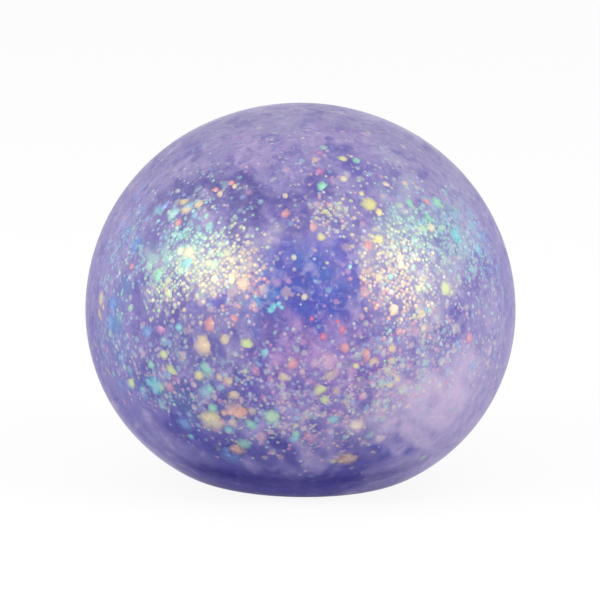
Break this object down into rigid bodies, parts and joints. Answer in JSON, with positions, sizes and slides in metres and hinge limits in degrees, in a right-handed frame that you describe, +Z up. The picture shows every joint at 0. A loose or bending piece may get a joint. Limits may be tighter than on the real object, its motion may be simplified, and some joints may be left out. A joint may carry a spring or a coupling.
{
  "type": "squishy ball",
  "caption": "Soft rubber ball full of violet gel and iridescent glitter, sagging on a flat base, whose crown presses down and springs back.",
  "frame": {"origin": "middle of the flat that the ball rests on", "axes": "+Z up through the crown, -Y towards the viewer of the picture, +X to that viewer's right"},
  "size_m": [0.1, 0.1, 0.0878],
  "materials": {
    "milky_rubber": "clear milky rubber, satin",
    "plug_rubber": "milky rubber, satin",
    "clear_adhesive": "clear, cured",
    "violet_gel": "pigmented gel, clouded",
    "iridescent_film": "iridescent polyester film"
  },
  "bodies": {
    "base": {"outer_skin": "milky_rubber", "fill_plug": "plug_rubber", "glue_ring": "clear_adhesive", "gel_filling": "violet_gel", "fine_glitter": "iridescent_film", "medium_glitter": "iridescent_film", "coarse_glitter": "iridescent_film", "film_shards": "iridescent_film"},
    "crown": {"crown_glitter": "iridescent_film"}
  },
  "joints": [
    {"name": "squeeze", "type": "slide", "parent": "base", "child": "crown", "axis": [0, 0, -1], "range_m": [0, 0.03], "stiffness_N_per_m": 600, "deforming": ["outer_skin", "gel_filling"]}
  ]
}
